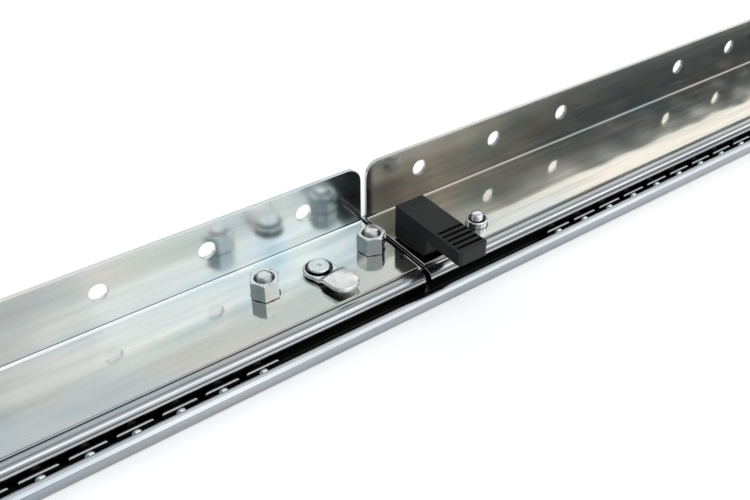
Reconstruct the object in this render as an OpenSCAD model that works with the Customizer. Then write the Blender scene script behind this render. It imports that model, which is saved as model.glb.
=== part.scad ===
// Two-way cabinet slide: one ball-bearing rail that carries two flanged carriages, end to end.
// Millimetres. X runs along the rail, -Y is the front, +Z is up.
// The origin is the middle of the rail's underside.

/* [Rail] */
// Length of the rail
rail_len = 500; // [480:4:560]
// Overall width of the rail
rail_w = 48; // [48:0.5:52]
// Thickness of the rail's sheet
rail_t = 1.5; // [1.4:0.1:1.6]
// Height of the rail's lips
lip_h = 4.7; // [4.4:0.1:5]
// Diameter of the rail's screw holes
rail_hole_d = 4.5; // [4:0.1:5]

/* [Carriages] */
// Height of the carriage deck above the rail's underside
deck_z = 10; // [10:0.1:10.6]
// Thickness of the carriage sheets
sheet_t = 1.2; // [1:0.1:1.2]
// Gap between the two carriages when closed
centre_gap = 2; // [1.6:0.1:2.4]
// How far each carriage travels outward
travel = 150; // [120:1:150]
// Height of the flange above the deck
flange_h = 20; // [18:0.5:24]
// Distance from the centreline to the flange's inner face
flange_y = 14.1; // [13.6:0.1:14.6]
// Radius of the flange's corners
flange_corner_r = 5; // [3:0.5:6]
// Diameter of the flange's screw holes
flange_hole_d = 5.2; // [4.5:0.1:6]
// Pitch of the screw holes along the flange
hole_pitch = 32; // [32]
// Number of screw holes in the group at each end of a flange
end_holes = 3; // [1:1:3]

/* [Ball cages] */
// Diameter of a ball
ball_d = 3.5; // [3.4:0.05:3.5]
// Distance from one ball to the next
ball_pitch = 12; // [11.5:0.1:12]
// Number of balls in each cage
cage_balls = 10; // [8:1:10]
// Distance from mid-rail to the left cages
left_cage_start = 52.6; // [46:0.2:54]
// Distance from mid-rail to the right cages
right_cage_start = 47.2; // [46:0.2:54]

/* [Lock lever] */
// Width of the lever
lever_w = 10.5; // [10.5:0.1:12]
// Height of the lever's top above the deck
lever_h = 11.9; // [11.5:0.1:13]
// How far the thumb pad reaches in front of the centreline
lever_reach = 29.7; // [28:0.1:31]
// Thickness of the lever's arm
arm_t = 4.5; // [4:0.1:4.8]
// Number of grip grooves across the thumb pad
grip_grooves = 5; // [3:1:5]

/* [Fasteners] */
// Distance across the flats of the hex nuts
nut_af = 8; // [8:0.1:8.5]
// Height of the hex nuts
nut_h = 6; // [5:0.1:6.2]
// Distance from mid-rail to the outer bolt
outer_bolt_x = 44; // [42:0.5:45]
// Distance from mid-rail to the inner bolt
inner_bolt_x = 7; // [7:0.5:8]

/* [Hidden] */
$fn = 48;
through = 40;            // long enough to cut through anything
eps = 0.01;

// Ball races: the balls run in the rail's corner curve and in a groove in the channel's lip.
rail_half = rail_w / 2;
ball_r = ball_d / 2;
race_clear = 0.1;
race_r = ball_r + race_clear;
ball_y = rail_half - rail_t - race_r;
ball_z = rail_t + race_r;
lip_slope_w = 1.5;
lip_slope_h = 1.15;
rail_heel_r = 0.8;

// Channel: the carriage's lower sheet, with its lips turned down inside the rail.
channel_top = deck_z - sheet_t;
channel_half = ball_y - 1.55;
channel_bend_r = 2.4;
channel_lip_z = rail_t + 0.5;
carriage_start = centre_gap / 2;
carriage_end = rail_len / 2;

// Flange plate: the carriage's upper sheet, which turns up into the flange.
plate_front = flange_y + sheet_t;
flange_top = deck_z + flange_h;
flange_bend_r = 0.8;
first_hole_x = 22;
last_hole_x = first_hole_x + 6 * hole_pitch;
flange_hole_z = deck_z + 11.4;

// Rail details.
rail_screws_x = [32, 128, 224];
driver_hole_r = 4.5;
stop_block_end = 51;
stop_x = stop_block_end + travel + 0.3;
stop_t = 1.5;
stop_w = 12;
stop_slot = 5;
keeper_x = [5, 10.5];
keeper_y = [-8, 1];

// Parts bolted under the deck.
block_z = 4.2;
block_h = channel_top - sheet_t - block_z;
block_corner_r = 2;
left_block_start = 1.6;
left_block_w = 17;
right_block_start = 16;
right_block_y = [-14, 7];
head_z = 4.3;
head_h = 2.3;
bolt_y = 0.4;
bolt_r = 2.42;
bolt_hole_r = 2.6;
bolt_head_r = 4.25;
bolt_top = deck_z + nut_h + 1.1;
tip_chamfer = 0.7;
stud_x = 27.5;
stud_y = -8.45;
stud_r = 1.95;
stud_top = deck_z + 4.2;
stud_head_r = 3.5;
collar_r = 3.5;
collar_h = 2.2;
collar_groove_depth = 1;
second_nut_turn = 39;

// Swing catch, which turns on its rivet.
catch_x = -26.4;
catch_y = -0.3;
catch_turn = 10.4;
catch_eye_r = 4.7;
catch_t = 1.2;
catch_z = deck_z + 0.6;
catch_step = 1.2;
catch_len = 10.4;
tongue_r = 4.3;
rivet_r = 2;
rivet_head_r = 3.3;
rivet_head_z = catch_z + catch_t + 0.1;
rivet_head_h = 0.8;
rivet_foot_h = 0.8;

// Lock lever, which rocks on a pin along X.
lever_x = 2;
lever_back = 0.6;
lever_front = -14.6;
lever_top = deck_z + lever_h;
lever_wall = 1.4;
lever_roof = 1.9;
lever_heel_gap = 0.4;
lever_toe_gap = 1.6;
lever_toe_chamfer = 1.2;
pivot_y = -3.2;
pivot_z = 15.3;
pin_r = 0.7;
pin_hole_r = pin_r + 0.06;
pin_inset = 0.5;
groove_w = 1.1;
groove_depth = 0.8;
groove_pitch = 2.15;
groove_margin = 2.5;
bracket_t = 0.9;
bracket_gap = 0.4;
ear_r = 1.7;
pawl_x = 7;
pawl_t = 1.6;
window_x = [6, 9.6];
window_y = [-7, 0.4];
spring_wire_r = 0.3;

// Ball cages.
cage_t = 0.8;
cage_z = 2;
cage_low_h = 1.6;
cage_tab_h = 3.7;
cage_tab_len = ball_pitch - 2;
cage_tab_r = 0.8;

// Extrudes a profile, drawn with Y across and Z up, from x0 to x1.
module along_x(x0, x1) {
    translate([x0, 0, 0])
        rotate([90, 0, 90])
            linear_extrude(x1 - x0)
                children();
}

// Extrudes a profile, drawn with X across and Z up, from y0 to y1.
module along_y(y0, y1) {
    translate([0, y1, 0])
        rotate([90, 0, 0])
            linear_extrude(y1 - y0)
                children();
}

// A flat rectangle from one corner to the other.
module area(x0, y0, x1, y1) {
    translate([x0, y0])
        square([x1 - x0, y1 - y0]);
}

// A box from one corner to the other.
module box(low, high) {
    translate(low)
        cube(high - low);
}

// The bent quarter of a sheet: outer radius r, thickness t, in the quadrant +across, -up.
module bend(r, t) {
    intersection() {
        difference() {
            circle(r);
            circle(r - t);
        }
        area(0, -r, r, 0);
    }
}

module both_sides() {
    children();
    mirror([1, 0]) children();
}

module hole(x, y, r) {
    translate([x, y, -through / 2])
        cylinder(r = r, h = through);
}

// A flat disc or shank with a chamfered top edge.
module chamfered_rod(r, z0, z1, chamfer) {
    translate([0, 0, z0])
        cylinder(r = r, h = z1 - chamfer - z0);
    translate([0, 0, z1 - chamfer])
        cylinder(r1 = r, r2 = r - chamfer, h = chamfer);
}

// ---- rail ----

// One edge of the rail: an upright lip with a sloped shoulder, and a race hollowed out inside it.
module rail_edge() {
    shoulder_z = lip_h - lip_slope_h;
    difference() {
        union() {
            polygon([[ball_y, 0], [rail_half - rail_heel_r, 0], [rail_half - rail_heel_r, rail_heel_r],
                     [rail_half, rail_heel_r], [rail_half, shoulder_z],
                     [rail_half - lip_slope_w, lip_h], [ball_y, lip_h]]);
            translate([rail_half - rail_heel_r, rail_heel_r]) circle(rail_heel_r);
        }
        translate([ball_y, ball_z]) circle(race_r);
    }
}

module rail_section() {
    area(-ball_y, 0, ball_y, rail_t);
    both_sides() rail_edge();
}

module rail() {
    color("silver")
        difference() {
            union() {
                along_x(-rail_len / 2, rail_len / 2) rail_section();
                for (side = [-1, 1])
                    translate([side * (stop_x + stop_t / 2) - stop_t / 2, -stop_w / 2, rail_t / 2])
                        cube([stop_t, stop_w, channel_top - sheet_t - 1 - rail_t / 2]);
            }
            for (side = [-1, 1]) {
                for (x = rail_screws_x) hole(side * x, 0, rail_hole_d / 2);
                translate([side * (stop_x + stop_t + stop_slot / 2) - stop_slot / 2, -stop_w / 2, -1])
                    cube([stop_slot, stop_w, rail_t + 2]);
            }
            box([keeper_x[0], keeper_y[0], -1], [keeper_x[1], keeper_y[1], rail_t + 1]);
        }
}

// ---- carriages: drawn on the +X side, and the left ones are mirrored ----

module channel_section() {
    wall_inner = channel_half - sheet_t;
    area(-(channel_half - channel_bend_r), channel_top - sheet_t,
         channel_half - channel_bend_r, channel_top);
    both_sides() {
        translate([channel_half - channel_bend_r, channel_top - channel_bend_r])
            mirror([0, 1]) bend(channel_bend_r, sheet_t);
        difference() {
            union() {
                area(wall_inner, channel_lip_z, channel_half, channel_top - channel_bend_r);
                intersection() {
                    translate([ball_y, ball_z]) circle(race_r + sheet_t);
                    area(ball_y - race_r - sheet_t - 1, channel_lip_z,
                         channel_half, channel_top - channel_bend_r);
                }
            }
            translate([ball_y, ball_z]) circle(race_r);
        }
    }
}

module channel_body() {
    along_x(carriage_start, carriage_end) channel_section();
}

module plate_section() {
    bend_outer = flange_bend_r + sheet_t;
    area(-plate_front, channel_top, flange_y - flange_bend_r, deck_z);
    translate([flange_y - flange_bend_r, deck_z + flange_bend_r])
        bend(bend_outer, sheet_t);
    area(flange_y, deck_z + flange_bend_r, flange_y + sheet_t, flange_top);
}

// The flange seen from the front, with its two rounded upper corners.
module flange_outline() {
    low = channel_top - 1;
    shoulder = flange_top - flange_corner_r;
    area(carriage_start, low, carriage_end, shoulder);
    area(carriage_start + flange_corner_r, shoulder - 1, carriage_end - flange_corner_r, flange_top);
    for (x = [carriage_start + flange_corner_r, carriage_end - flange_corner_r])
        translate([x, shoulder])
            circle(flange_corner_r);
}

module plate_body() {
    difference() {
        intersection() {
            along_x(carriage_start, carriage_end) plate_section();
            along_y(-through, through) flange_outline();
        }
        for (i = [0:end_holes - 1], x = [first_hole_x + i * hole_pitch, last_hole_x - i * hole_pitch])
            translate([x, flange_y - 1, flange_hole_z])
                rotate([-90, 0, 0])
                    cylinder(d = flange_hole_d, h = sheet_t + 2);
        hole(rail_screws_x[2], 0, driver_hole_r);
    }
}

module left_holes() {
    for (x = [outer_bolt_x, inner_bolt_x]) hole(-x, bolt_y, bolt_hole_r);
    hole(catch_x, catch_y, rivet_r + 0.04);
}

module right_holes() {
    hole(stud_x, stud_y, stud_r + 0.05);
    box([window_x[0], window_y[0], -1], [window_x[1], window_y[1], deck_z + 1]);
}

module left_channel() {
    color("gainsboro")
        difference() {
            mirror([1, 0, 0]) channel_body();
            left_holes();
            hole(-rail_screws_x[2], 0, driver_hole_r);
        }
}

module right_channel() {
    color("gainsboro")
        difference() {
            channel_body();
            right_holes();
            hole(rail_screws_x[2], 0, driver_hole_r);
        }
}

module left_flange_plate() {
    color("lightsteelblue")
        difference() {
            mirror([1, 0, 0]) plate_body();
            left_holes();
        }
}

module right_flange_plate() {
    color("lightsteelblue")
        difference() {
            plate_body();
            right_holes();
        }
}

// ---- what is bolted to the left carriage ----

// A stop block with rounded corners, from x0 to x1 and y0 to y1.
module block(x0, x1, y0, y1) {
    r = block_corner_r;
    translate([0, 0, block_z])
        linear_extrude(block_h) {
            area(x0 + r, y0, x1 - r, y1);
            area(x0, y0 + r, x1, y1 - r);
            for (x = [x0 + r, x1 - r], y = [y0 + r, y1 - r])
                translate([x, y]) circle(r);
        }
}

module counterbore(x, y, r) {
    translate([x, y, block_z - 1])
        cylinder(r = r, h = head_z + head_h - block_z + 1);
}

module left_stop_block() {
    color("dimgray")
        difference() {
            block(-stop_block_end, -left_block_start, -left_block_w / 2, left_block_w / 2);
            left_holes();
            for (x = [outer_bolt_x, inner_bolt_x]) counterbore(-x, bolt_y, bolt_head_r + 0.3);
            hole(catch_x, catch_y, rivet_head_r + 0.3);
        }
}

// A screw with a low round head below, a hex socket in the head, and a chamfered tip.
module screw(r, head_r, top) {
    difference() {
        union() {
            translate([0, 0, head_z])
                cylinder(r = head_r, h = head_h);
            chamfered_rod(r, head_z + head_h - eps, top, tip_chamfer);
        }
        translate([0, 0, head_z - 1])
            cylinder(r = head_r * 0.42, h = 1 + head_h / 2, $fn = 6);
    }
}

module left_bolts() {
    color("silver")
        for (x = [outer_bolt_x, inner_bolt_x])
            translate([-x, bolt_y, 0])
                screw(bolt_r, bolt_head_r, bolt_top);
}

// A hex nut whose corners are turned off at both ends, with a shallow recess round the bolt.
module nut() {
    corner_r = nut_af / sqrt(3);
    flat_r = nut_af / 2;
    turned = (corner_r - flat_r) * 0.55;
    difference() {
        intersection() {
            cylinder(r = corner_r, h = nut_h, $fn = 6);
            rotate_extrude()
                polygon([[0, 0], [flat_r, 0], [corner_r, turned], [corner_r, nut_h - turned],
                         [flat_r, nut_h], [0, nut_h]]);
        }
        translate([0, 0, -1])
            cylinder(r = bolt_r + 0.06, h = nut_h + 2);
        translate([0, 0, nut_h - 0.7])
            cylinder(r1 = bolt_r + 0.06, r2 = bolt_r + 0.66, h = 0.7 + eps);
    }
}

module left_nuts() {
    color("gainsboro") {
        translate([-outer_bolt_x, bolt_y, deck_z]) nut();
        translate([-inner_bolt_x, bolt_y, deck_z]) rotate([0, 0, second_nut_turn]) nut();
    }
}

// ---- swing catch ----

module catch_rivet() {
    foot_z = channel_top - sheet_t - rivet_foot_h;
    color("whitesmoke")
        translate([catch_x, catch_y, 0])
            difference() {
                union() {
                    translate([0, 0, foot_z])
                        cylinder(r = rivet_head_r - 0.3, h = rivet_foot_h);
                    translate([0, 0, foot_z])
                        cylinder(r = rivet_r, h = rivet_head_z - foot_z + eps);
                    chamfered_rod(rivet_head_r, rivet_head_z, rivet_head_z + rivet_head_h, 0.3);
                }
                translate([0, 0, rivet_head_z + rivet_head_h - 0.5])
                    cylinder(r = 0.7, h = 1);
            }
}

module catch_washer() {
    color("lightgray")
        translate([catch_x, catch_y, deck_z])
            difference() {
                cylinder(r = rivet_head_r + 0.1, h = catch_z - deck_z - 0.1);
                translate([0, 0, -1]) cylinder(r = rivet_r + 0.05, h = 3);
            }
}

// Flat eye round the rivet, then a sloped neck up to a raised, round-ended tongue.
module swing_catch() {
    neck_y = -3;
    tongue_y = -5.6;
    color("gainsboro")
        translate([catch_x, catch_y, catch_z])
            rotate([0, 0, catch_turn])
                difference() {
                    union() {
                        cylinder(r = catch_eye_r, h = catch_t);
                        hull() {
                            translate([-catch_eye_r * 0.7, neck_y, 0])
                                cube([catch_eye_r * 1.4, 0.1, catch_t]);
                            translate([-tongue_r * 0.98, tongue_y, catch_step])
                                cube([tongue_r * 1.96, 0.1, catch_t]);
                        }
                        hull() {
                            translate([-tongue_r, tongue_y, catch_step])
                                cube([tongue_r * 2, 0.1, catch_t - 0.5]);
                            translate([0, -catch_len, catch_step])
                                cylinder(r = tongue_r, h = catch_t - 0.5, $fn = 32);
                            translate([-tongue_r + 0.8, tongue_y - 0.6, catch_step])
                                cube([tongue_r * 2 - 1.6, 0.1, catch_t + 0.1]);
                            translate([0, -catch_len, catch_step])
                                cylinder(r = tongue_r - 0.8, h = catch_t + 0.1, $fn = 32);
                        }
                    }
                    translate([0, 0, -1]) cylinder(r = rivet_r + 0.06, h = 6);
                    translate([0, 0, catch_t])
                        cylinder(r = rivet_head_r + 0.3, h = 3);
                }
}

// ---- what is fixed to the right carriage ----

module right_stop_block() {
    color("dimgray")
        difference() {
            block(right_block_start, stop_block_end, right_block_y[0], right_block_y[1]);
            hole(stud_x, stud_y, stud_r + 0.2);
            counterbore(stud_x, stud_y, stud_head_r + 0.3);
        }
}

module right_stud() {
    color("silver")
        translate([stud_x, stud_y, 0])
            screw(stud_r, stud_head_r, stud_top);
}

module right_collar() {
    color("gainsboro")
        translate([stud_x, stud_y, 0])
            difference() {
                chamfered_rod(collar_r, deck_z, deck_z + collar_h, 0.3);
                translate([0, 0, deck_z - 1])
                    cylinder(r = stud_r + 0.05, h = collar_h + 2);
                translate([0, 0, deck_z + collar_h - collar_groove_depth])
                    difference() {
                        cylinder(r = collar_r - 0.55, h = collar_groove_depth + 1);
                        translate([0, 0, -1]) cylinder(r = stud_r + 0.35, h = 3);
                    }
            }
}

// A U of sheet steel inside the lever: a base on the deck and two ears that hold the pin.
module lever_bracket() {
    x0 = lever_x + lever_wall + bracket_gap;
    x1 = lever_x + lever_w - lever_wall - bracket_gap;
    base_front = lever_front + 3.2;
    base_back = pivot_y + ear_r;
    color("lightslategray")
        difference() {
            union() {
                box([x0, base_front, deck_z], [x1, base_back, deck_z + bracket_t]);
                for (x = [x0, x1 - bracket_t]) {
                    box([x, pivot_y - ear_r, deck_z], [x + bracket_t, base_back, pivot_z]);
                    translate([x, pivot_y, pivot_z])
                        rotate([0, 90, 0]) cylinder(r = ear_r, h = bracket_t);
                }
            }
            box([window_x[0], window_y[0], deck_z - 1],
                [window_x[1], window_y[1], deck_z + bracket_t + 1]);
            translate([0, pivot_y, pivot_z])
                rotate([0, 90, 0]) cylinder(r = pin_r + 0.02, h = through);
        }
}

module lever_pin() {
    color("silver")
        translate([lever_x + pin_inset, pivot_y, pivot_z])
            rotate([0, 90, 0])
                cylinder(r = pin_r, h = lever_w - 2 * pin_inset);
}

// Torsion spring: three coils round the pin, one leg to the bracket and one up to the lever.
module lever_spring() {
    coil_x = lever_x + lever_wall + bracket_gap + bracket_t + 0.6;
    coil_r = pin_r + spring_wire_r + 0.25;
    coil_step = spring_wire_r * 1.8;
    leg_r = spring_wire_r * 0.8;
    color("darkgray") {
        translate([coil_x, pivot_y, pivot_z])
            rotate([0, 90, 0])
                rotate_extrude()
                    for (i = [0:2])
                        translate([coil_r, i * coil_step]) circle(spring_wire_r);
        translate([coil_x, pivot_y - coil_r, deck_z + bracket_t + 0.05])
            cylinder(r = leg_r, h = pivot_z - deck_z - bracket_t - 0.05);
        translate([coil_x + 2 * coil_step, pivot_y + coil_r, pivot_z])
            cylinder(r = leg_r, h = 2.8);
    }
}

// ---- lock lever ----

// The lever from its side, Y across and Z up. The sole slopes, so that the lever can rock.
module lever_profile() {
    polygon([[lever_back, deck_z + lever_heel_gap], [pivot_y - 1, deck_z + lever_heel_gap],
             [lever_front + lever_toe_chamfer, deck_z + lever_toe_gap - 0.1],
             [lever_front, deck_z + lever_toe_gap + lever_toe_chamfer], [lever_front, lever_top - arm_t],
             [-lever_reach, lever_top - arm_t], [-lever_reach, lever_top], [lever_back, lever_top]]);
}

// Trims the vertical edges of the thumb pad's end to a radius.
module pad_end_outline() {
    r = 1.2;
    area(lever_x, -lever_reach + r, lever_x + lever_w, lever_back + 1);
    area(lever_x + r, -lever_reach - eps, lever_x + lever_w - r, -lever_reach + r + eps);
    for (x = [lever_x + r, lever_x + lever_w - r])
        translate([x, -lever_reach + r]) circle(r);
}

module grip_groove(y) {
    x0 = lever_x + 1.5;
    x1 = lever_x + lever_w - 0.9;
    translate([0, y, lever_top - groove_depth]) {
        box([x0, -groove_w / 2, 0], [x1, groove_w / 2, groove_depth + 1]);
        for (x = [x0, x1])
            translate([x, 0, 0]) cylinder(d = groove_w, h = groove_depth + 1);
    }
}

module lock_lever() {
    first_groove = -lever_reach + groove_margin;
    color([0.1, 0.1, 0.11])
        difference() {
            intersection() {
                along_x(lever_x, lever_x + lever_w) lever_profile();
                translate([0, 0, deck_z]) linear_extrude(lever_h + 1) pad_end_outline();
            }
            box([lever_x + lever_wall, lever_front + lever_wall, deck_z - 1],
                [lever_x + lever_w - lever_wall, lever_back - lever_wall, lever_top - lever_roof]);
            translate([lever_x - 1, pivot_y, pivot_z])
                rotate([0, 90, 0]) cylinder(r = pin_hole_r, h = lever_w + 2);
            for (i = [0:grip_grooves - 1]) grip_groove(first_groove + i * groove_pitch);
        }
}

// Steel pawl that hangs from the pin, passes through the deck and is carried by the lever.
module lock_pawl() {
    roof = lever_top - lever_roof;
    toe_z = 4.4;
    color("slategray")
        difference() {
            along_x(pawl_x, pawl_x + pawl_t) {
                translate([pivot_y, pivot_z]) circle(2);
                area(pivot_y - 1.2, toe_z, pivot_y + 1.2, pivot_z);
                area(pivot_y - 2.8, toe_z, pivot_y, toe_z + 1.8);
                area(pivot_y - 6, pivot_z - 0.8, pivot_y, pivot_z + 1.2);
                area(pivot_y - 6, pivot_z - 0.8, pivot_y - 4, roof - 0.05);
            }
            translate([pawl_x - 1, pivot_y, pivot_z])
                rotate([0, 90, 0]) cylinder(r = pin_hole_r, h = pawl_t + 2);
        }
}

// ---- ball cages ----

// Where ball i sits along X, for a cage that starts at the given distance from mid-rail.
function ball_x(start, i) = start + cage_tab_len / 2 + i * ball_pitch;

module cage_outline(start) {
    length = cage_balls * ball_pitch - (ball_pitch - cage_tab_len);
    top = cage_z + cage_tab_h;
    difference() {
        union() {
            area(start, cage_z, start + length, cage_z + cage_low_h);
            for (i = [0:cage_balls - 1]) {
                x0 = start + i * ball_pitch;
                x1 = x0 + cage_tab_len;
                area(x0, cage_z, x1, top - cage_tab_r);
                area(x0 + cage_tab_r, cage_z, x1 - cage_tab_r, top);
                for (x = [x0 + cage_tab_r, x1 - cage_tab_r])
                    translate([x, top - cage_tab_r]) circle(cage_tab_r);
            }
        }
        for (i = [0:cage_balls - 1])
            translate([ball_x(start, i), ball_z]) circle(ball_r + 0.08);
    }
}

// One cage or one row of balls. side is -1 for left and 1 for right, y is -1 front, 1 rear.
module placed(side, row) {
    translate([0, row * ball_y, 0])
        mirror([side < 0 ? 1 : 0, 0, 0])
            children();
}

module cage(side, row, start) {
    color([0.13, 0.13, 0.14])
        placed(side, row)
            along_y(-cage_t / 2, cage_t / 2) cage_outline(start);
}

module balls(side, row, start) {
    color("whitesmoke")
        placed(side, row)
            for (i = [0:cage_balls - 1])
                translate([ball_x(start, i), 0, ball_z]) sphere(ball_r);
}

rail();
left_channel();
left_flange_plate();
left_stop_block();
left_bolts();
left_nuts();
catch_rivet();
catch_washer();
swing_catch();
right_channel();
right_flange_plate();
right_stop_block();
right_stud();
right_collar();
lever_bracket();
lever_pin();
lever_spring();
lock_lever();
lock_pawl();
cage(-1, -1, left_cage_start);  // left_front_cage
balls(-1, -1, left_cage_start);  // left_front_balls
cage(-1, 1, left_cage_start);  // left_rear_cage
balls(-1, 1, left_cage_start);  // left_rear_balls
cage(1, -1, right_cage_start);  // right_front_cage
balls(1, -1, right_cage_start);  // right_front_balls
cage(1, 1, right_cage_start);  // right_rear_cage
balls(1, 1, right_cage_start);  // right_rear_balls
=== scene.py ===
"""Looks of a two-way ball-bearing slide with two flanged carriages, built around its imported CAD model.

The shared frame is in metres: X along the rail, -Y to the front, +Z up. Shapes and masks are stated in
millimetres.
"""

import math
from collections import namedtuple

import bmesh
import bpy
from mathutils import Matrix, Vector


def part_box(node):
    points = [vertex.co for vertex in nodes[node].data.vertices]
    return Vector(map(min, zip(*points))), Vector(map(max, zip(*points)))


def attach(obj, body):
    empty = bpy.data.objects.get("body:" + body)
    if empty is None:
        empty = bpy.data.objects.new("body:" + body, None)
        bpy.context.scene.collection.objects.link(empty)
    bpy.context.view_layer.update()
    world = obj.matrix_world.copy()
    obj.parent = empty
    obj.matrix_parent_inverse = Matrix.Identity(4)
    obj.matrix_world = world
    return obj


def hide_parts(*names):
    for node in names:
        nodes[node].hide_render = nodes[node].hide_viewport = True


MM = 0.001
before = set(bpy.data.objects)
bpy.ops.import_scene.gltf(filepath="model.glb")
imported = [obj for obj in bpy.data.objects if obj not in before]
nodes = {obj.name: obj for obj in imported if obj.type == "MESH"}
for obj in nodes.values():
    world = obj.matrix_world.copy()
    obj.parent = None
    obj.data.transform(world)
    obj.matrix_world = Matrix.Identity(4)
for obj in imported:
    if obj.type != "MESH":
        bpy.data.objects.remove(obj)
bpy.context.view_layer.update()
scene = bpy.context.scene


def middle(name):
    low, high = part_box(name)
    return (low + high) / 2 / MM


# ---------------------------------------------------------------- node graphs

class Graph:
    """A node tree, with short calls that make one node each."""

    def __init__(self, tree, coordinate):
        self.tree = tree
        self.place = tree.nodes.new("ShaderNodeTexCoord").outputs[coordinate]

    def link(self, out, into):
        self.tree.links.new(out, into)

    def stretched(self, scale=(1.0, 1.0, 1.0), turn=(0.0, 0.0, 0.0)):
        """The coordinates, scaled in each direction and turned."""
        node = self.tree.nodes.new("ShaderNodeMapping")
        node.inputs["Scale"].default_value = scale
        node.inputs["Rotation"].default_value = turn
        self.link(self.place, node.inputs["Vector"])
        return node.outputs["Vector"]

    def noise(self, vector, scale, detail, rough, warp=0.0):
        node = self.tree.nodes.new("ShaderNodeTexNoise")
        node.inputs["Scale"].default_value = scale
        node.inputs["Detail"].default_value = detail
        node.inputs["Roughness"].default_value = rough
        node.inputs["Distortion"].default_value = warp
        self.link(vector, node.inputs["Vector"])
        return node.outputs["Fac"]

    def cells(self, vector, scale):
        node = self.tree.nodes.new("ShaderNodeTexVoronoi")
        node.inputs["Scale"].default_value = scale
        self.link(vector, node.inputs["Vector"])
        return node.outputs["Distance"]

    def ramp(self, value, stops):
        node = self.tree.nodes.new("ShaderNodeValToRGB")
        elements = node.color_ramp.elements
        while len(elements) < len(stops):
            elements.new(0.5)
        for element, (at, colour) in zip(elements, stops):
            element.position = at
            element.color = (*colour, 1.0)
        self.link(value, node.inputs["Fac"])
        return node.outputs["Color"]

    def span(self, value, low, high, out_low, out_high, smooth=False):
        """Maps value from low..high to out_low..out_high, and holds it at the ends."""
        node = self.tree.nodes.new("ShaderNodeMapRange")
        node.interpolation_type = "SMOOTHSTEP" if smooth else "LINEAR"
        for name, number in (("From Min", low), ("From Max", high),
                             ("To Min", out_low), ("To Max", out_high)):
            node.inputs[name].default_value = number
        self.link(value, node.inputs["Value"])
        return node.outputs["Result"]

    def maths(self, kind, a, b=None):
        """A maths node. b may be a socket or a number."""
        node = self.tree.nodes.new("ShaderNodeMath")
        node.operation = kind
        self.link(a, node.inputs[0])
        if isinstance(b, float):
            node.inputs[1].default_value = b
        elif b is not None:
            self.link(b, node.inputs[1])
        return node.outputs["Value"]

    def vectors(self, kind, a, b=None):
        """A vector maths node. b is a constant vector."""
        node = self.tree.nodes.new("ShaderNodeVectorMath")
        node.operation = kind
        self.link(a, node.inputs[0])
        if b is not None:
            node.inputs[1].default_value = b
        return node.outputs["Value" if kind in ("LENGTH", "DOT_PRODUCT") else "Vector"]

    def blend(self, share, a, b, kind="MIX"):
        """Mixes two colours. Each may be a socket or a constant."""
        node = self.tree.nodes.new("ShaderNodeMix")
        node.data_type = "RGBA"
        node.blend_type = kind
        self.link(share, node.inputs[0])
        sockets = [s for s in node.inputs if s.type == "RGBA"]
        for socket, value in zip(sockets, (a, b)):
            if isinstance(value, tuple):
                socket.default_value = (*value, 1.0)
            else:
                self.link(value, socket)
        return [s for s in node.outputs if s.type == "RGBA"][0]

    def axis(self, name):
        node = self.tree.nodes.new("ShaderNodeSeparateXYZ")
        self.link(self.place, node.inputs["Vector"])
        return node.outputs[name]

    def around(self, centre, inner, outer, soft=0.08):
        """1 within a ring round an upright axis, all in millimetres, and 0 elsewhere."""
        across = self.maths("SUBTRACT", self.axis("X"), centre[0] * MM)
        along = self.maths("SUBTRACT", self.axis("Y"), centre[1] * MM)
        square = self.maths("ADD", self.maths("MULTIPLY", across, across),
                            self.maths("MULTIPLY", along, along))
        reach = self.maths("SQRT", square)
        mask = self.span(reach, (outer - soft) * MM, (outer + soft) * MM, 1.0, 0.0)
        if inner > 0:
            hollow = self.span(reach, (inner - soft) * MM, (inner + soft) * MM, 0.0, 1.0)
            mask = self.maths("MULTIPLY", mask, hollow)
        return mask

    def between(self, value, low, high, soft=0.05):
        """1 where a value, stated in millimetres, lies from low to high."""
        rise = self.span(value, (low - soft) * MM, (low + soft) * MM, 0.0, 1.0)
        fall = self.span(value, (high - soft) * MM, (high + soft) * MM, 1.0, 0.0)
        return self.maths("MULTIPLY", rise, fall)

    def bump(self, height, strength, depth, under=None):
        node = self.tree.nodes.new("ShaderNodeBump")
        node.inputs["Strength"].default_value = strength
        node.inputs["Distance"].default_value = depth
        self.link(height, node.inputs["Height"])
        if under is not None:
            self.link(under, node.inputs["Normal"])
        return node.outputs["Normal"]


class Surface(Graph):
    """A material's graph, in object coordinates, so that its pattern moves with the body."""

    def __init__(self, name):
        self.material = bpy.data.materials.new(name)
        self.material.use_nodes = True
        super().__init__(self.material.node_tree, "Object")
        self.shader = self.tree.nodes["Principled BSDF"]

    def finish(self, colour, rough, normal=None, metallic=0.0, specular=None):
        self.link(colour, self.shader.inputs["Base Color"])
        self.link(rough, self.shader.inputs["Roughness"])
        self.shader.inputs["Metallic"].default_value = metallic
        if specular is not None:
            self.shader.inputs["Specular IOR Level"].default_value = specular
        if normal is not None:
            self.link(normal, self.shader.inputs["Normal"])
        return self.material


# ---------------------------------------------------------------- where the fittings are

bolts_low, bolts_high = (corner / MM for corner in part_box("left_bolts"))
BOLT_HEAD_R = (bolts_high.y - bolts_low.y) / 2
BOLT_ROW = (bolts_low.y + bolts_high.y) / 2
NUTS = [(bolts_low.x + BOLT_HEAD_R, BOLT_ROW), (bolts_high.x - BOLT_HEAD_R, BOLT_ROW)]
STUD = middle("right_stud")
RIVET = middle("catch_rivet")
RECESS_R = 4.12                         # the catch's recess round the rivet's head
DECK_Z = 10.0

# ---------------------------------------------------------------- masks for painted shade and highlights

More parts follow.
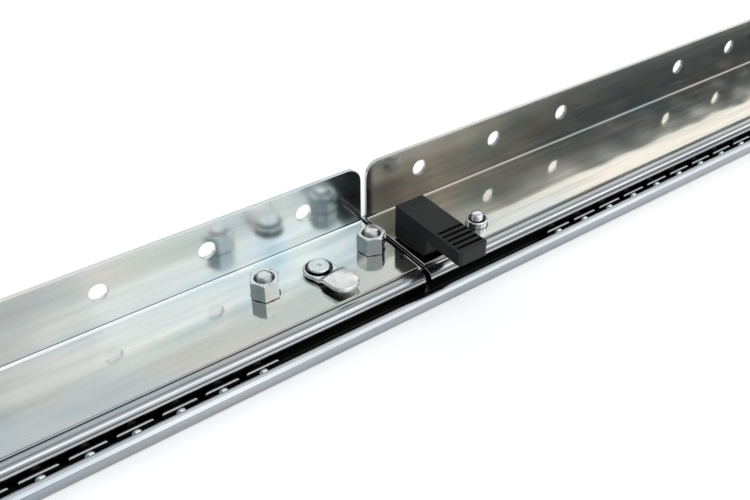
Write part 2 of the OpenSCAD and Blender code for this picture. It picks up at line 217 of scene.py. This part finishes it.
def rail_shade_mask(g):
    """Painted shade in the rail's races and beside them on the web, and on its outer walls towards the foot.
    """
    across = g.maths("ABSOLUTE", g.axis("Y"))
    up = g.axis("Z")
    races = g.maths("MULTIPLY", g.between(across, 18.0, 22.8, 0.3), g.between(up, 1.0, 4.55))
    foot = g.maths("MULTIPLY", g.span(up, 0.2 * MM, 3.4 * MM, 0.42, 0.0),
                   g.span(across, 23.6 * MM, 23.9 * MM, 0.0, 1.0))
    return g.maths("MAXIMUM", races, foot)


def channel_shade_mask(g):
    """Painted shade on the channel's lips below the bend and a painted contact shadow in the seam by the
    plate.
    """
    across = g.maths("ABSOLUTE", g.axis("Y"))
    up = g.axis("Z")
    wall = g.maths("MULTIPLY", g.span(up, 5.8 * MM, 6.9 * MM, 1.0, 0.0, smooth=True),
                   g.span(up, 2.6 * MM, 3.1 * MM, 0.0, 1.0))
    seam = g.maths("MULTIPLY", g.between(across, 15.2, 15.55), g.span(up, 8.5 * MM, 8.6 * MM, 0.0, 1.0))
    return g.maths("MAXIMUM", wall, g.maths("MULTIPLY", seam, 0.9))


def fitting_contact_shade(radius, *centres):
    """Painted contact shade on the deck round the foot of nuts and collars."""
    def mask(g):
        deck = g.between(g.axis("Z"), DECK_Z - 0.1, DECK_Z + 0.1)
        film = g.around(centres[0], 0.0, radius)
        for centre in centres[1:]:
            film = g.maths("MAXIMUM", film, g.around(centre, 0.0, radius))
        return g.maths("MULTIPLY", film, deck)
    return mask


def nut_shade(g):
    """The thread's mouth inside each nut is dark."""
    return g.maths("MAXIMUM", *[g.around(nut, 0.0, 2.7) for nut in NUTS])


def bolt_shade(g):
    """Dark thread flanks, with a bright tip."""
    flanks = g.maths("MAXIMUM", *[g.around(nut, 2.1, 2.6) for nut in NUTS])
    return g.maths("MULTIPLY", flanks, 0.7)


def stud_shade(g):
    """The groove in the collar is dark, and so is the foot of the thread."""
    return g.around(STUD, 1.9, 2.88)


def catch_shade(g):
    """The recess round the rivet's head is dark."""
    return g.around(RIVET, 0.0, RECESS_R)


def cage_edge_highlight(g):
    """A thin painted highlight along the outer top edge of each ball retainer's tabs."""
    low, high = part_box("left_front_cage")
    outer = max(abs(low.y), abs(high.y)) / MM
    across = g.maths("ABSOLUTE", g.axis("Y"))
    crest = g.span(g.axis("Z"), high.z - 0.34 * MM, high.z - 0.26 * MM, 0.0, 1.0)
    return g.maths("MULTIPLY", g.between(across, outer - 0.3, outer + 0.2, 0.04), crest)


# ---------------------------------------------------------------- kinds of material

# Painted shade, put in races, seams and hollows and round the foot of fittings.
PAINTED_SHADE = (0.050, 0.056, 0.047)
# Painted shade on a deck's front half.
FRONT_SHADE = (0.40, 0.42, 0.42)
FOOT_SHADE = (0.30, 0.30, 0.30)
# Painted highlight along the top of a flange.
CREST_HIGHLIGHT = (0.86, 0.87, 0.85)
FINE_LINES = (0.45, 0.47, 0.49)
COARSE_LINES = (0.40, 0.42, 0.44)
# Painted highlight on the edges of the ball retainers.
EDGE_HIGHLIGHT = (0.62, 0.64, 0.64)

# Tints by the gap and at the far end, the sign of X on this carriage, and four strengths: the flange's haze,
# the painted shade at its foot, the painted highlight along its top, and the painted shade on the deck's
# front half.
Flange = namedtuple("Flange", "near far side haze foot crest film")


def flanged(g, clouds, colour, flange):
    """Colours the flange and deck, with painted reflections, shade and highlight. Returns the colour and the
    flange's mask.
    """
    across = g.axis("Y")
    up = g.axis("Z")
    away = g.maths("MULTIPLY", g.axis("X"), flange.side)
    near, far = g.ramp(clouds, flange.near), g.ramp(clouds, flange.far)
    upright = g.span(across, 13.2 * MM, 13.9 * MM, 0.0, 1.0)
    apart = g.span(away, 20 * MM, 120 * MM, 0.0, 1.0)
    beside = g.maths("MULTIPLY", g.span(away, 4 * MM, 28 * MM, 0.75, 0.0, smooth=True),
                     g.span(across, -3 * MM, 4 * MM, 0.0, 1.0, smooth=True))
    # The deck beside the gap takes the near tints: a painted reflection.
    colour = g.blend(beside, colour, near)
    # The flange's plating tints change from near to far, with a painted reflection in their brightness.
    colour = g.blend(upright, colour, g.blend(apart, near, far))
    foot = g.maths("MULTIPLY", upright, g.span(up, 12 * MM, 28 * MM, flange.foot, 0.0))
    colour = g.blend(foot, colour, FOOT_SHADE, "MULTIPLY")
    # Painted highlight along the flange's top.
    top = g.maths("MULTIPLY", upright, g.span(up, 21.5 * MM, 26.5 * MM, 0.0, flange.crest, smooth=True))
    colour = g.blend(top, colour, CREST_HIGHLIGHT)
    # Painted shade on the deck's front half.
    front = g.span(across, -2 * MM, 2 * MM, flange.film, 0.0, smooth=True)
    return g.blend(front, colour, FRONT_SHADE, "MULTIPLY"), upright


def zinc(name, tints, rough, grain, seed, patch, shade_mask, wave=0.0, streak=0.10, flange=None):
    """Bright zinc plate: cloudy tints, fine rolling lines along X, a faint pebble and slight waves."""
    g = Surface(name)
    clouds = g.noise(g.stretched((0.45, 1.0, 1.0), (seed, 0.3, seed)), patch, 2.0, 0.5, 0.6)
    lines = g.noise(g.stretched((14.0, 900.0, 900.0)), 1.6, 3.0, 0.6)
    wide = g.noise(g.stretched((6.0, 120.0, 120.0)), 1.0, 2.0, 0.5)
    streaks = g.noise(g.stretched((26.0, 420.0, 420.0)), 1.0, 3.0, 0.65)
    pebble = g.noise(g.stretched(), 1500.0, 2.0, 0.5)
    colour = g.ramp(clouds, tints)
    gloss = g.span(g.maths("ADD", lines, wide), 0.75, 1.25, *rough)
    if flange is not None:
        colour, upright = flanged(g, clouds, colour, flange)
        gloss = g.maths("ADD", gloss, g.maths("MULTIPLY", upright, flange.haze))
    colour = g.blend(g.span(lines, 0.35, 0.65, 0.0, streak), colour, FINE_LINES, "MULTIPLY")
    colour = g.blend(g.span(streaks, 0.42, 0.66, 0.0, streak * 2.2), colour, COARSE_LINES, "MULTIPLY")
    # Painted shade from the mask, which also makes the surface a little rougher.
    film = shade_mask(g)
    colour = g.blend(film, colour, PAINTED_SHADE)
    gloss = g.maths("ADD", gloss, g.maths("MULTIPLY", film, 0.15))
    relief = g.bump(lines, grain, 0.02 * MM)
    relief = g.bump(pebble, 0.12, 0.03 * MM, relief)
    if wave > 0:
        swell = g.noise(g.stretched((1.0, 0.5, 0.5), (0.0, 0.0, seed * 0.1)), 42.0, 1.0, 0.4)
        relief = g.bump(swell, 1.0, wave * MM, relief)
    return g.finish(colour, gloss, relief, metallic=1.0)


def turned(name, tints, rough, size=900.0, relief=0.15, depth=0.03, shade=None):
    """Small plated parts: even metal with faint blotches and fine pits. shade marks dark hollows."""
    g = Surface(name)
    blotch = g.noise(g.stretched(), 260.0, 3.0, 0.55, 0.4)
    fine = g.noise(g.stretched(), size, 3.0, 0.6)
    colour = g.ramp(blotch, tints)
    if shade is not None:
        # Painted shade in the hollows.
        colour = g.blend(shade(g), colour, PAINTED_SHADE)
    gloss = g.span(fine, 0.3, 0.7, *rough)
    return g.finish(colour, gloss, g.bump(fine, relief, depth * MM), metallic=1.0)


def moulded(name, dark, light, rough=(0.36, 0.50), grain=0.35, specular=0.5, glint=None):
    """Moulded black plastic: a fine sparked grain and slight unevenness. An optional mask marks painted edge
    highlights.
    """
    g = Surface(name)
    sparks = g.cells(g.stretched(), 2600.0)
    cloud = g.noise(g.stretched(), 120.0, 3.0, 0.5)
    colour = g.blend(cloud, dark, light)
    if glint is not None:
        # Painted highlights on the edges from the mask.
        colour = g.blend(glint(g), colour, EDGE_HIGHLIGHT)
    gloss = g.span(cloud, 0.3, 0.7, *rough)
    return g.finish(colour, gloss, g.bump(sparks, grain, 0.04 * MM), specular=specular)


# ---------------------------------------------------------------- shape helpers

RING_POINTS = 48
SOCKET_SHARE, SOCKET_DEPTH = 0.42, 1.2      # of a screw's head radius, and millimetres
HEAD_H = 2.3
TAPER = 0.95                                # radius lost per millimetre at a screw's tip


def soften(name, width):
    """Rounds a CAD node's sharp edges and gives its curves smooth shading."""
    shown = nodes[name]
    mesh = shown.data
    if "custom_normal" in mesh.attributes:
        mesh.attributes.remove(mesh.attributes["custom_normal"])
    mesh.polygons.foreach_set("use_smooth", [True] * len(mesh.polygons))
    weld = shown.modifiers.new("weld", "WELD")
    weld.merge_threshold = 1e-6
    planar = shown.modifiers.new("planar", "DECIMATE")
    planar.decimate_type = "DISSOLVE"
    planar.angle_limit = math.radians(0.6)
    if width > 0:
        bevel = shown.modifiers.new("edges", "BEVEL")
        bevel.width = width * MM
        bevel.segments = 2
        bevel.limit_method = "ANGLE"
        bevel.angle_limit = math.radians(32)
        bevel.use_clamp_overlap = False
        bevel.miter_outer = "MITER_ARC"
        bevel.harden_normals = False
    normals = shown.modifiers.new("normals", "WEIGHTED_NORMAL")
    normals.keep_sharp = True
    normals.weight = 60


def paint(name, material):
    shown = nodes[name]
    shown.data.materials.clear()
    shown.data.materials.append(material)


def new_piece(name, mesh, material, body, smooth=True):
    """Adds a mesh piece, in the shared frame, that moves with a CAD body."""
    piece = bpy.data.objects.new(name, mesh)
    scene.collection.objects.link(piece)
    mesh.materials.append(material)
    mesh.polygons.foreach_set("use_smooth", [smooth] * len(mesh.polygons))
    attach(piece, body)
    return piece


def mesh_from(bm, name):
    bmesh.ops.recalc_face_normals(bm, faces=bm.faces)
    mesh = bpy.data.meshes.new(name)
    bm.to_mesh(mesh)
    bm.free()
    return mesh


def loft(bm, loops, close=True):
    """Joins loops of the same number of points with quads, and caps both ends unless close is off."""
    rings = [[bm.verts.new(p) for p in loop] for loop in loops]
    count = len(rings[0])
    for low, high in zip(rings, rings[1:]):
        for i in range(count):
            j = (i + 1) % count
            bm.faces.new((low[i], low[j], high[j], high[i]))
    if close:
        bm.faces.new(list(reversed(rings[0])))
        bm.faces.new(rings[-1])
    return rings


def round_loop(centre, z, radius_at):
    """A level loop of points round a centre. radius_at gives the radius at an angle."""
    points = []
    for i in range(RING_POINTS):
        angle = 2 * math.pi * i / RING_POINTS
        radius = radius_at(angle)
        points.append(Vector((centre[0] + radius * math.cos(angle),
                              centre[1] + radius * math.sin(angle), z)) * MM)
    return points


def ring(centre, radius, z):
    return round_loop(centre, z, lambda angle: radius)


def hexagon(centre, corner, z):
    """A hexagon with its points spread evenly in angle, so that it lofts to a ring."""
    flat = corner * math.cos(math.pi / 6)
    return round_loop(centre, z, lambda angle: flat / math.cos((angle % (math.pi / 3)) - math.pi / 6))


def threaded_screw(bm, centre, head_r, low, top, major, minor, pitch, tip):
    """A screw with a socketed round head below and a rolled thread up to a domed tip.

    The thread lies between the radii minor and major, and tapers over the last tip of its height.
    """
    neck = low + HEAD_H
    socket = head_r * SOCKET_SHARE
    loops = [hexagon(centre, socket, low + SOCKET_DEPTH), hexagon(centre, socket, low),
             ring(centre, head_r - 0.3, low), ring(centre, head_r, low + 0.3),
             ring(centre, head_r, neck - 0.05), ring(centre, head_r - 0.05, neck),
             ring(centre, minor + 0.05, neck)]
    start = neck + 0.1
    end = top - 0.18
    steps = int((end - start) / (pitch / 10))
    for k in range(steps + 1):
        z = start + (end - start) * k / steps
        fade = min(1.0, (z - start) / pitch)
        limit = max(major - max(0.0, z - (top - tip)) * TAPER, 0.5)

        def thread(angle):
            phase = (z / pitch - angle / (2 * math.pi)) % 1.0
            rise = max(0.0, 1.0 - abs(phase - 0.5) * 2.6) ** 0.8
            return min(minor + (major - minor) * min(1.0, rise * 1.15) * fade, limit)

        loops.append(round_loop(centre, z, thread))
    last = min(major - (end - (top - tip)) * TAPER, minor)
    for share, z in ((0.86, top - 0.09), (0.66, top - 0.03), (0.4, top), (0.12, top)):
        loops.append(ring(centre, last * share, z))
    loft(bm, loops)


# ---------------------------------------------------------------- materials

CREAM_TINTS = [(0.28, (0.74, 0.80, 0.83)), (0.42, (0.84, 0.86, 0.84)), (0.52, (0.90, 0.86, 0.81)),
               (0.62, (0.84, 0.86, 0.79)), (0.76, (0.76, 0.81, 0.84))]
BLUE_TINTS = [(0.28, (0.46, 0.63, 0.73)), (0.42, (0.62, 0.73, 0.79)), (0.52, (0.74, 0.80, 0.80)),
              (0.62, (0.60, 0.73, 0.77)), (0.76, (0.48, 0.64, 0.74))]
PALE_TINTS = [(0.28, (0.76, 0.81, 0.83)), (0.42, (0.86, 0.87, 0.85)), (0.52, (0.91, 0.87, 0.83)),
              (0.62, (0.86, 0.88, 0.82)), (0.76, (0.78, 0.83, 0.85))]
WARM_TINTS = [(0.28, (0.66, 0.68, 0.64)), (0.42, (0.76, 0.75, 0.69)), (0.52, (0.80, 0.76, 0.70)),
              (0.62, (0.76, 0.75, 0.69)), (0.76, (0.67, 0.70, 0.68))]
BROWN_TINTS = [(0.28, (0.46, 0.52, 0.48)), (0.42, (0.56, 0.53, 0.48)), (0.52, (0.60, 0.53, 0.47)),
              (0.62, (0.54, 0.53, 0.48)), (0.76, (0.46, 0.51, 0.49))]
SLATE_TINTS = [(0.28, (0.34, 0.41, 0.43)), (0.42, (0.42, 0.45, 0.45)), (0.52, (0.48, 0.46, 0.43)),
               (0.62, (0.41, 0.45, 0.45)), (0.76, (0.35, 0.41, 0.44))]
RAIL_TINTS = [(0.3, (0.40, 0.44, 0.48)), (0.5, (0.47, 0.50, 0.53)), (0.7, (0.43, 0.46, 0.49))]
GREY_TINTS = [(0.3, (0.42, 0.44, 0.46)), (0.5, (0.52, 0.54, 0.56)), (0.7, (0.46, 0.48, 0.50))]
BRIGHT_TINTS = [(0.3, (0.66, 0.69, 0.71)), (0.5, (0.80, 0.81, 0.81)), (0.7, (0.72, 0.73, 0.74))]
SATIN_TINTS = [(0.3, (0.58, 0.58, 0.57)), (0.5, (0.70, 0.70, 0.69)), (0.7, (0.63, 0.63, 0.63))]
CATCH_TINTS = [(0.3, (0.80, 0.81, 0.80)), (0.5, (0.93, 0.94, 0.92)), (0.7, (0.86, 0.87, 0.86))]

rail_zinc = zinc("rail_zinc", RAIL_TINTS, (0.10, 0.20), 0.3, 0.2, 20.0, rail_shade_mask)
channel_zinc = zinc("channel_zinc", GREY_TINTS, (0.09, 0.18), 0.3, 0.7, 20.0, channel_shade_mask)
left_zinc = zinc("left_zinc", CREAM_TINTS, (0.07, 0.13), 0.16, 1.1, 34.0, fitting_contact_shade(4.35, *NUTS),
                 wave=0.25, streak=0.05,
                 flange=Flange(BLUE_TINTS, PALE_TINTS, side=-1.0, haze=0.06, foot=0.0, crest=0.0, film=0.36))
right_zinc = zinc("right_zinc", WARM_TINTS, (0.06, 0.12), 0.18, 2.3, 34.0, fitting_contact_shade(3.7, STUD),
                  wave=0.35, streak=0.13,
                  flange=Flange(BROWN_TINTS, SLATE_TINTS, side=1.0, haze=0.03, foot=0.34, crest=0.45, film=0.0))
bolt_zinc = turned("bolt_zinc", BRIGHT_TINTS, (0.08, 0.18), shade=bolt_shade)
nut_zinc = turned("nut_zinc", BRIGHT_TINTS, (0.06, 0.13), 700.0, 0.10, shade=nut_shade)
rivet_zinc = turned("rivet_zinc", BRIGHT_TINTS, (0.14, 0.26))
stud_zinc = turned("stud_zinc", BRIGHT_TINTS, (0.08, 0.18), shade=stud_shade)
catch_zinc = turned("catch_zinc", CATCH_TINTS, (0.18, 0.30), 500.0, 0.3, 0.05, shade=catch_shade)
bracket_zinc = turned("bracket_zinc", SATIN_TINTS, (0.20, 0.34))
pin_steel = turned("pin_steel", BRIGHT_TINTS, (0.06, 0.12))
spring_steel = turned("spring_steel", SATIN_TINTS, (0.20, 0.30))
ball_steel = turned("ball_steel", GREY_TINTS, (0.05, 0.10), 400.0, 0.05)
lever_black = moulded("lever_black", (0.005, 0.005, 0.006), (0.009, 0.009, 0.010), (0.38, 0.50), specular=0.28)
cage_black = moulded("cage_black", (0.006, 0.007, 0.007), (0.012, 0.013, 0.013), (0.16, 0.26), 0.10,
                     specular=0.45, glint=cage_edge_highlight)
block_black = moulded("block_black", (0.020, 0.020, 0.021), (0.030, 0.030, 0.031))

# ---------------------------------------------------------------- CAD nodes that stay

# Each node's material and the width of its rounded edges in millimetres.
FINISH = {
    "rail": (rail_zinc, 0.16), "left_channel": (channel_zinc, 0.16),
    "right_channel": (channel_zinc, 0.16), "left_flange_plate": (left_zinc, 0.22),
    "right_flange_plate": (right_zinc, 0.22), "left_stop_block": (block_black, 0.2),
    "right_stop_block": (block_black, 0.2), "left_nuts": (nut_zinc, 0.14),
    "catch_rivet": (rivet_zinc, 0.12), "catch_washer": (rivet_zinc, 0.06),
    "right_collar": (stud_zinc, 0.1), "lever_bracket": (bracket_zinc, 0.08),
    "lever_pin": (pin_steel, 0.12), "lever_spring": (spring_steel, 0.0),
    "lock_pawl": (bracket_zinc, 0.1),
}
for side in ("left", "right"):
    for row in ("front", "rear"):
        FINISH[f"{side}_{row}_cage"] = (cage_black, 0.2)
        FINISH[f"{side}_{row}_balls"] = (ball_steel, 0.0)
for name, (material, width) in FINISH.items():
    paint(name, material)
    soften(name, width)

# ---------------------------------------------------------------- threaded bolts and stud

bm = bmesh.new()
for nut in NUTS:
    threaded_screw(bm, nut, BOLT_HEAD_R, bolts_low.z, bolts_high.z, major=2.42, minor=2.02, pitch=0.8, tip=0.6)
bolts = new_piece("bolt_threads", mesh_from(bm, "bolt_threads"), bolt_zinc, "left_carriage")
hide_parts("left_bolts")

bm = bmesh.new()
low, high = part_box("right_stud")
threaded_screw(bm, STUD, (high.x - low.x) / 2 / MM, low.z / MM, high.z / MM,
               major=1.95, minor=1.6, pitch=0.7, tip=0.5)
studs = new_piece("stud_thread", mesh_from(bm, "stud_thread"), stud_zinc, "right_carriage")
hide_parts("right_stud")

# ---------------------------------------------------------------- lever with rounded outer edges

LEVER_ROUNDING = 0.3
SHORTEST_EDGE = 2.6                     # leaves out the ends of the grip grooves
LEAST_FOLD = math.radians(30)           # leaves out the flats round the pin hole


def rounded_lever():
    """The CAD lever, with the long convex edges of its outside rounded."""
    source = nodes["lock_lever"]
    low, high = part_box("lock_lever")
    bm = bmesh.new()
    bm.from_mesh(source.data)
    bm.transform(source.matrix_world)
    bmesh.ops.remove_doubles(bm, verts=bm.verts, dist=1e-6)
    bmesh.ops.dissolve_limit(bm, angle_limit=math.radians(0.6), verts=bm.verts, edges=bm.edges)
    chosen = []
    for edge in bm.edges:
        if len(edge.link_faces) != 2 or not edge.is_convex or edge.calc_length() < SHORTEST_EDGE * MM:
            continue
        depth = min(min(v.co.x - low.x, high.x - v.co.x) for v in edge.verts)
        if edge.calc_face_angle() >= LEAST_FOLD and depth < 0.05 * MM:
            chosen.append(edge)
    bmesh.ops.bevel(bm, geom=chosen, offset=LEVER_ROUNDING * MM, segments=3, profile=0.5, affect="EDGES",
                    clamp_overlap=False)
    return mesh_from(bm, "lever_body")


lever = new_piece("lever_body", rounded_lever(), lever_black, "lever", smooth=False)
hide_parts("lock_lever")

# ---------------------------------------------------------------- pressed swing catch

# Radii and lengths from the rivet, with the tongue towards -Y before the catch is turned.
CATCH_TURN = math.radians(10.4)
EYE_R, HOLE_R, RECESS = 4.7, 2.06, 0.5
TONGUE_R, TONGUE_Y, END_Y = 4.35, -6.8, -10.4
WAIST = [(4.12, -3.1), (4.08, -4.2), (4.2, -5.4)]
SHEET, STEP, DOME, ROLL = 1.2, 1.2, 0.55, 0.42
OUTLINE_POINTS = 176


def smooth(t):
    t = min(1.0, max(0.0, t))
    return t * t * (3 - 2 * t)


def catch_outline(count):
    """Points round the catch from above: a round eye, a slight waist and a wide round tongue."""
    turns = [math.radians(d) for d in range(0, 115, 5)]
    half = [(EYE_R * math.sin(a), EYE_R * math.cos(a)) for a in turns]
    half += WAIST + [(TONGUE_R, TONGUE_Y), (TONGUE_R, TONGUE_Y - 1.7)]
    for d in range(0, 91, 5):
        a = math.radians(d)
        half.append((TONGUE_R * math.cos(a) ** 0.86, END_Y - TONGUE_R * math.sin(a) ** 0.92))
    loop = half + [(-x, y) for x, y in reversed(half[1:-1])]
    lengths = [0.0]
    for (x0, y0), (x1, y1) in zip(loop, loop[1:] + loop[:1]):
        lengths.append(lengths[-1] + math.hypot(x1 - x0, y1 - y0))
    points = []
    edge = 0
    for i in range(count):
        want = lengths[-1] * i / count
        while lengths[edge + 1] < want:
            edge += 1
        share = (want - lengths[edge]) / (lengths[edge + 1] - lengths[edge])
        (x0, y0), (x1, y1) = loop[edge], loop[(edge + 1) % len(loop)]
        points.append((x0 + (x1 - x0) * share, y0 + (y1 - y0) * share))
    return points


def swing_catch_mesh():
    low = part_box("swing_catch")[0].z / MM
    outline = catch_outline(OUTLINE_POINTS)
    bm = bmesh.new()

    def loop(reach, inset, face):
        """One loop of points. reach runs from the hole to the rim, and face from the bottom to the top."""
        points = []
        for x, y in outline:
            far = math.hypot(x, y) - inset
            r = HOLE_R + (far - HOLE_R) * reach
            scale = r / math.hypot(x, y)
            px, py = x * scale, y * scale
            z = STEP * smooth((-py - 3.9) / 2.4)
            if face > 0:
                crown = smooth((-py - 4.4) / 2.6) * max(0.0, 1.0 - (px / (TONGUE_R + 0.3)) ** 2)
                crown *= max(0.0, 1.0 - max(0.0, (END_Y - py) / (TONGUE_R + 0.3)) ** 2)
                z += SHEET * face + DOME * crown * smooth(face)
                z -= RECESS * (1.0 - smooth((r - RECESS_R + 0.12) / 0.12))
            across = px * math.cos(CATCH_TURN) - py * math.sin(CATCH_TURN)
            along = px * math.sin(CATCH_TURN) + py * math.cos(CATCH_TURN)
            points.append(Vector((RIVET.x + across, RIVET.y + along, low + z)) * MM)
        return points

    loops = [loop(0.0, 0.0, 0), loop(0.0, 0.0, 1)]
    loops += [loop(k / 40, ROLL, 1) for k in range(1, 41)]
    for k in range(1, 6):
        a = math.radians(18 * k)
        loops.append(loop(1.0, ROLL * (1 - math.sin(a)), 1 - ROLL * (1 - math.cos(a)) / SHEET))
    loops += [loop(1.0, 0.0, 0.1), loop(1.0, 0.1, 0)]
    loops += [loop(k / 12, 0.1, 0) for k in range(11, 0, -1)]
    rings = loft(bm, loops, close=False)
    first, last = rings[0], rings[-1]
    for i in range(len(first)):
        j = (i + 1) % len(first)
        bm.faces.new((last[i], last[j], first[j], first[i]))
    return mesh_from(bm, "catch_plate")


plate = new_piece("catch_plate", swing_catch_mesh(), catch_zinc, "catch")
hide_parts("swing_catch")

# ---------------------------------------------------------------- floor, light and camera

FLOOR_HALF, FLOOR_Z = 60.0, -0.3 * MM   # metres
FLOOR_GLOW = 0.42


def floor():
    mesh = bpy.data.meshes.new("floor")
    corners = [(x * FLOOR_HALF, y * FLOOR_HALF, FLOOR_Z) for x, y in ((-1, -1), (1, -1), (1, 1), (-1, 1))]
    mesh.from_pydata(corners, [], [(0, 1, 2, 3)])
    ground = bpy.data.objects.new("floor", mesh)
    scene.collection.objects.link(ground)
    g = Surface("floor_white")
    speck = g.noise(g.stretched(), 30.0, 2.0, 0.5)
    g.finish(g.ramp(speck, [(0.0, (0.80, 0.80, 0.80)), (1.0, (0.83, 0.83, 0.83))]),
             g.span(speck, 0.0, 1.0, 0.7, 0.8))
    g.shader.inputs["Emission Color"].default_value = (1.0, 1.0, 1.0, 1.0)
    g.shader.inputs["Emission Strength"].default_value = FLOOR_GLOW
    mesh.materials.append(g.material)


SKY = (0.74, 0.77, 0.78)
LEAN_END = 1.2
# Long lamps and screens that run along X: degrees from the back horizon over the top, half width of the
# full part, half width where it ends, then a colour, or colours by how far the direction leans along X (a
# tangent, from -LEAN_END to LEAN_END).
SKY_BANDS = (
    (42.0, 9.0, 14.0, [(-0.20, (0.80, 0.83, 0.84)), (0.52, (0.86, 0.88, 0.88)), (0.72, (1.05, 1.05, 1.03)),
                       (0.95, (1.22, 1.20, 1.14))]),
    (77.0, 5.0, 11.0, (0.38, 0.40, 0.41)),
    (169.0, 8.0, 14.0, (0.26, 0.27, 0.28)),
    (121.0, 10.5, 15.5, [(-0.40, (0.30, 0.36, 0.39)), (-0.10, (1.90, 1.90, 1.90))]),
    (145.0, 7.0, 10.0, [(0.02, (0.42, 0.46, 0.50)), (0.20, (1.20, 1.20, 1.19)), (0.34, (1.20, 1.20, 1.19)),
                        (0.38, (1.05, 1.08, 1.09)), (0.44, (1.55, 1.55, 1.57)), (0.51, (1.10, 1.16, 1.19)),
                        (0.56, (0.08, 0.07, 0.06)), (0.60, (0.30, 0.28, 0.25)), (0.65, (0.75, 0.73, 0.70)),
                        (0.73, (0.46, 0.45, 0.42)), (0.82, (0.28, 0.28, 0.27)), (0.95, (0.15, 0.17, 0.18))]),
)
# Round screens: direction, cosine where it is full, cosine where it ends, colour.
SKY_SPOTS = (
    ((0.0, 0.0, -1.0), -0.06, -0.30, (0.36, 0.38, 0.39)),
    ((-0.750, 0.273, 0.602), 0.94, 0.88, (0.26, 0.35, 0.38)),
)


def sky():
    """A pale studio with long lamps and screens, whose colours change along X."""
    world = bpy.data.worlds.new("studio")
    scene.world = world
    world.use_nodes = True
    g = Graph(world.node_tree, "Generated")
    flat = g.vectors("MULTIPLY", g.place, (0.0, 1.0, 1.0))
    across = g.vectors("NORMALIZE", flat)
    lean = g.maths("DIVIDE", g.axis("X"), g.vectors("LENGTH", flat))
    share = g.span(lean, -LEAN_END, LEAN_END, 0.0, 1.0)
    patches = [(g.place, *spot) for spot in SKY_SPOTS]
    for angle, full, end, shade in SKY_BANDS:
        if isinstance(shade, list):
            shade = g.ramp(share, [((at + LEAN_END) / (2 * LEAN_END), colour) for at, colour in shade])
        toward = (0.0, math.cos(math.radians(angle)), math.sin(math.radians(angle)))
        patches.append((across, toward, math.cos(math.radians(full)), math.cos(math.radians(end)), shade))
    colour = SKY
    for source, toward, full, end, shade in patches:
        aim = g.vectors("DOT_PRODUCT", source, Vector(toward).normalized())
        colour = g.blend(g.span(aim, end, full, 0.0, 1.0, smooth=True), colour, shade)
    g.link(colour, g.tree.nodes["Background"].inputs["Color"])


# Position in metres, view direction and the level direction to the picture's right.
CAMERA_AT = (-0.1328, -0.1753, 0.1703)
CAMERA_AHEAD = (0.4702, 0.6495, -0.5976)
CAMERA_RIGHT = (0.8100, -0.5864, 0.0)


def camera():
    lens = bpy.data.cameras.new("camera")
    lens.lens = 42.48
    lens.sensor_width = 36.0
    lens.clip_start, lens.clip_end = 0.01, 500.0
    eye = bpy.data.objects.new("camera", lens)
    scene.collection.objects.link(eye)
    ahead = Vector(CAMERA_AHEAD).normalized()
    right = Vector(CAMERA_RIGHT).normalized()
    turn = Matrix((right, right.cross(ahead), -ahead)).transposed()
    eye.matrix_world = Matrix.Translation(CAMERA_AT) @ turn.to_4x4()
    scene.camera = eye


floor()
sky()
camera()
scene.view_settings.view_transform = "Standard"
